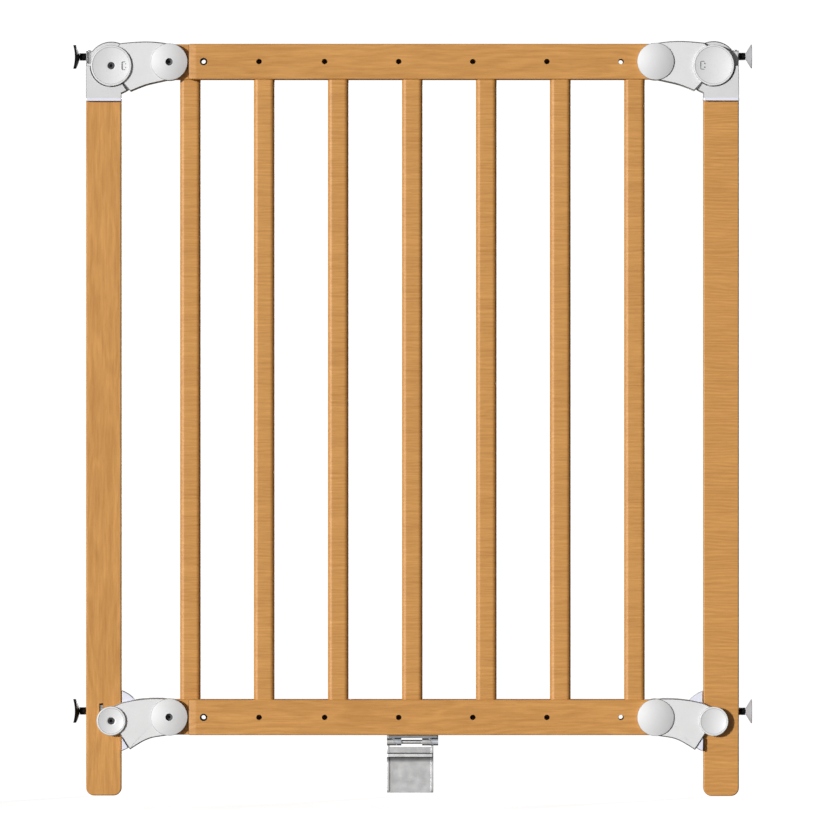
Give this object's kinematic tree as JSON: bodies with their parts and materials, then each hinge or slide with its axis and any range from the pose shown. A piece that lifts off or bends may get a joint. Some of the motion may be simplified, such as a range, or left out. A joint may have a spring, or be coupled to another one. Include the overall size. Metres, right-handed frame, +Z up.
{
  "type": "safety baby gate",
  "caption": "Pressure-fit wooden stair gate: two sliding barred frames hung between wall posts on swinging arms, with screw pads and a folding foot.",
  "frame": {"origin": "on the floor, midway between the wall pads and midway through the gate's depth", "axes": "+X along the rails towards the right post, +Y from the front towards the rear frame, +Z up"},
  "size_m": [0.6786, 0.0564, 0.754],
  "materials": {
    "timber": "satin clear lacquer over fine straight grain",
    "white_plastic": "semi-gloss moulded white",
    "black_plastic": "matte moulded black",
    "grey_rubber": "matte light grey rubber",
    "black_steel": "black finished thread",
    "zinc_steel": "dull zinc plate"
  },
  "bodies": {
    "left_post": {"left_post": "timber", "left_corner_bracket": "white_plastic", "left_lower_hinge_plate": "white_plastic", "left_upper_spindle_nut": "zinc_steel", "left_upper_post_screw_disc": "white_plastic", "left_upper_post_cap": "white_plastic", "left_lower_spindle_nut": "zinc_steel", "left_lower_post_screw_disc": "white_plastic", "left_lower_post_cap": "white_plastic"},
    "left_upper_arm": {"left_upper_arm": "white_plastic"},
    "left_lower_arm": {"left_lower_arm": "white_plastic"},
    "rear_frame": {"rear_top_rail": "timber", "rear_bottom_rail": "timber", "rear_bar_1": "timber", "rear_bar_2": "timber", "rear_bar_3": "timber", "rear_bar_4": "timber", "rear_bar_5": "timber", "rear_bar_6": "timber", "left_upper_rail_screw_disc": "white_plastic", "left_upper_rail_cap": "white_plastic", "left_lower_rail_screw_disc": "white_plastic", "left_lower_rail_cap": "white_plastic"},
    "left_upper_pad": {"left_upper_wall_pad": "black_plastic"},
    "left_upper_spindle": {"left_upper_spindle": "black_steel"},
    "left_lower_pad": {"left_lower_wall_pad": "black_plastic"},
    "left_lower_spindle": {"left_lower_spindle": "black_steel"},
    "right_post": {"right_post": "timber", "right_corner_bracket": "white_plastic", "right_lower_hinge_plate": "white_plastic", "right_upper_spindle_nut": "zinc_steel", "right_upper_post_screw_disc": "white_plastic", "right_upper_post_cap": "white_plastic", "right_lower_spindle_nut": "zinc_steel", "right_lower_post_screw_disc": "white_plastic", "right_lower_post_cap": "white_plastic"},
    "right_upper_arm": {"right_upper_arm": "white_plastic"},
    "right_lower_arm": {"right_lower_arm": "white_plastic"},
    "front_frame": {"front_top_rail": "timber", "front_bottom_rail": "timber", "front_bar_1": "timber", "front_bar_2": "timber", "front_bar_3": "timber", "front_bar_4": "timber", "front_bar_5": "timber", "front_bar_6": "timber", "right_upper_rail_screw_disc": "white_plastic", "right_upper_rail_cap": "white_plastic", "right_lower_rail_screw_disc": "white_plastic", "right_lower_rail_cap": "white_plastic", "foot_leaf": "zinc_steel", "foot_left_screw": "zinc_steel", "foot_right_screw": "zinc_steel"},
    "right_upper_pad": {"right_upper_wall_pad": "grey_rubber"},
    "right_upper_spindle": {"right_upper_spindle": "black_steel"},
    "right_lower_pad": {"right_lower_wall_pad": "grey_rubber"},
    "right_lower_spindle": {"right_lower_spindle": "black_steel"},
    "foot_pin": {"foot_pin": "zinc_steel"},
    "foot_flap": {"foot_flap": "zinc_steel"}
  },
  "joints": [
    {"name": "left_upper_arm_swing", "type": "hinge", "parent": "left_post", "child": "left_upper_arm", "pos_m": [-0.301, 0.00915, 0.7297], "axis": [0, -1, 0], "range_deg": [0, 50]},
    {"name": "left_lower_arm_swing", "type": "hinge", "parent": "left_post", "child": "left_lower_arm", "pos_m": [-0.301, 0.00915, 0.0747], "axis": [0, -1, 0], "range_deg": [0, 50]},
    {"name": "gate_lift", "type": "hinge", "parent": "left_upper_arm", "child": "rear_frame", "pos_m": [-0.243, 0.00915, 0.7335], "axis": [0, 1, 0], "range_deg": [0, 50]},
    {"name": "width_extension", "type": "slide", "parent": "rear_frame", "child": "front_frame", "axis": [1, 0, 0], "range_m": [0, 0.3615]},
    {"name": "right_upper_arm_swing", "type": "hinge", "parent": "front_frame", "child": "right_upper_arm", "pos_m": [0.243, -0.00915, 0.7335], "axis": [0, 1, 0], "range_deg": [0, 50]},
    {"name": "right_lower_arm_swing", "type": "hinge", "parent": "front_frame", "child": "right_lower_arm", "pos_m": [0.243, -0.00915, 0.0785], "axis": [0, 1, 0], "range_deg": [0, 50]},
    {"name": "right_post_level", "type": "hinge", "parent": "right_upper_arm", "child": "right_post", "pos_m": [0.301, -0.00915, 0.7297], "axis": [0, -1, 0], "range_deg": [0, 50]},
    {"name": "left_upper_pad_travel", "type": "slide", "parent": "left_post", "child": "left_upper_pad", "axis": [-1, 0, 0], "range_m": [-0.00451, 0.01001]},
    {"name": "left_upper_spindle_turn", "type": "hinge", "parent": "left_upper_pad", "child": "left_upper_spindle", "pos_m": [-0.298, 0.00915, 0.7388], "axis": [-1, 0, 0], "range_deg": [-1296, 2880]},
    {"name": "left_lower_pad_travel", "type": "slide", "parent": "left_post", "child": "left_lower_pad", "axis": [-1, 0, 0], "range_m": [-0.00451, 0.01001]},
    {"name": "left_lower_spindle_turn", "type": "hinge", "parent": "left_lower_pad", "child": "left_lower_spindle", "pos_m": [-0.298, 0.00915, 0.0844], "axis": [-1, 0, 0], "range_deg": [-1296, 2880]},
    {"name": "right_upper_pad_travel", "type": "slide", "parent": "right_post", "child": "right_upper_pad", "axis": [1, 0, 0], "range_m": [-0.00451, 0.01001]},
    {"name": "right_upper_spindle_turn", "type": "hinge", "parent": "right_upper_pad", "child": "right_upper_spindle", "pos_m": [0.298, -0.00915, 0.7388], "axis": [1, 0, 0], "range_deg": [-1296, 2880]},
    {"name": "right_lower_pad_travel", "type": "slide", "parent": "right_post", "child": "right_lower_pad", "axis": [1, 0, 0], "range_m": [-0.00451, 0.01001]},
    {"name": "right_lower_spindle_turn", "type": "hinge", "parent": "right_lower_pad", "child": "right_lower_spindle", "pos_m": [0.298, -0.00915, 0.0844], "axis": [1, 0, 0], "range_deg": [-1296, 2880]},
    {"name": "foot_shift", "type": "slide", "parent": "front_frame", "child": "foot_pin", "axis": [-1, 0, 0], "range_m": [0, 0.00386]},
    {"name": "foot_fold", "type": "hinge", "parent": "foot_pin", "child": "foot_flap", "pos_m": [0, -0.00915, 0.0539], "axis": [1, 0, 0], "range_deg": [0, 90]}
  ],
  "couplings": [
    {"joint": "left_upper_arm_swing", "follows": "gate_lift", "ratio": 1},
    {"joint": "left_lower_arm_swing", "follows": "gate_lift", "ratio": 1},
    {"joint": "right_upper_arm_swing", "follows": "gate_lift", "ratio": 1},
    {"joint": "right_lower_arm_swing", "follows": "gate_lift", "ratio": 1},
    {"joint": "right_post_level", "follows": "gate_lift", "ratio": 1},
    {"joint": "left_upper_spindle_turn", "follows": "left_upper_pad_travel", "rad_per_m": 5026.5},
    {"joint": "left_lower_spindle_turn", "follows": "left_lower_pad_travel", "rad_per_m": 5026.5},
    {"joint": "right_upper_spindle_turn", "follows": "right_upper_pad_travel", "rad_per_m": 5026.5},
    {"joint": "right_lower_spindle_turn", "follows": "right_lower_pad_travel", "rad_per_m": 5026.5},
    {"joint": "foot_shift", "follows": "foot_fold", "m_per_rad": 0.00245}
  ]
}
